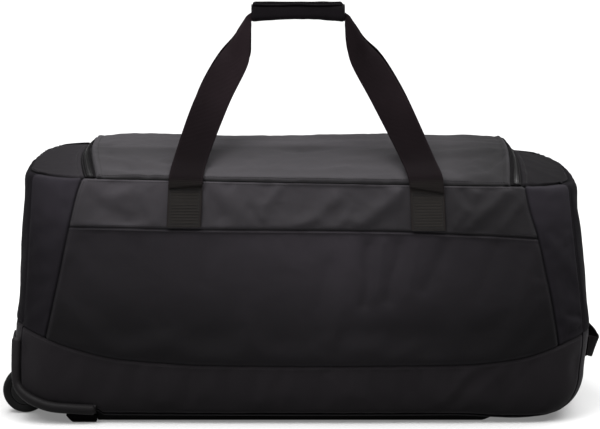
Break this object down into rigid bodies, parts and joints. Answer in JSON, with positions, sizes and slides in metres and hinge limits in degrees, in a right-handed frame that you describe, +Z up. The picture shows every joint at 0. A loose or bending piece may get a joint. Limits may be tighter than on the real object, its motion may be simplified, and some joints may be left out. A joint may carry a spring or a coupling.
{
  "type": "wheeled duffel bag",
  "caption": "Long soft-sided duffel bag with a zipped lid, slanted end seams, a heavier base tray, carry handles joined by a grip wrap, and wheels at one end.",
  "frame": {"origin": "centre of the footprint on the floor, under the middle of the overall length and depth", "axes": "+X along the length towards the end with the grab handle, +Y towards the back wall, +Z up; the bag lies on its skid rails and housing feet"},
  "size_m": [0.799, 0.3619, 0.5382],
  "materials": {
    "body_cloth": "matte woven",
    "lid_cloth": "matte woven",
    "base_cloth": "coarse woven, lightly coated",
    "zip_tape": "woven tape with a plastic chain",
    "zip_slider": "satin",
    "webbing": "ribbed webbing",
    "grip_cloth": "matte woven",
    "housing_plastic": "fine grain",
    "rail_plastic": "fine grain",
    "axle_steel": "satin",
    "wheel_tread": "matte",
    "wheel_hub": "satin"
  },
  "bodies": {
    "bag": {"front_yoke": "body_cloth", "front_pocket": "body_cloth", "back_panel": "body_cloth", "gusset_left_front": "body_cloth", "gusset_left_rear": "body_cloth", "gusset_right_front": "body_cloth", "gusset_right_rear": "body_cloth", "end_panel_left": "body_cloth", "end_panel_right": "body_cloth", "top_end_left": "body_cloth", "top_end_right": "body_cloth", "lid": "lid_cloth", "base_front": "base_cloth", "base_back": "base_cloth", "base_bottom": "base_cloth", "zip_left": "zip_tape", "zip_right": "zip_tape", "zip_rear": "zip_tape", "zip_slider_left": "zip_slider", "zip_slider_right": "zip_slider", "handle_strap_front": "webbing", "handle_strap_rear": "webbing", "end_handle": "webbing", "grip_wrap": "grip_cloth", "wheel_housing_front": "housing_plastic", "wheel_housing_rear": "housing_plastic", "housing_foot_front": "housing_plastic", "housing_foot_rear": "housing_plastic", "skid_rail_front": "rail_plastic", "skid_rail_rear": "rail_plastic", "axle_front": "axle_steel", "axle_rear": "axle_steel"},
    "wheel_front": {"wheel_tyre_front": "wheel_tread", "wheel_hub_front": "wheel_hub"},
    "wheel_rear": {"wheel_tyre_rear": "wheel_tread", "wheel_hub_rear": "wheel_hub"}
  },
  "joints": [
    {"name": "wheel_front_spin", "type": "hinge", "parent": "bag", "child": "wheel_front", "pos_m": [-0.3695, -0.101, 0.0303], "axis": [0, 1, 0], "continuous": true},
    {"name": "wheel_rear_spin", "type": "hinge", "parent": "bag", "child": "wheel_rear", "pos_m": [-0.3695, 0.101, 0.0303], "axis": [0, 1, 0], "continuous": true}
  ]
}
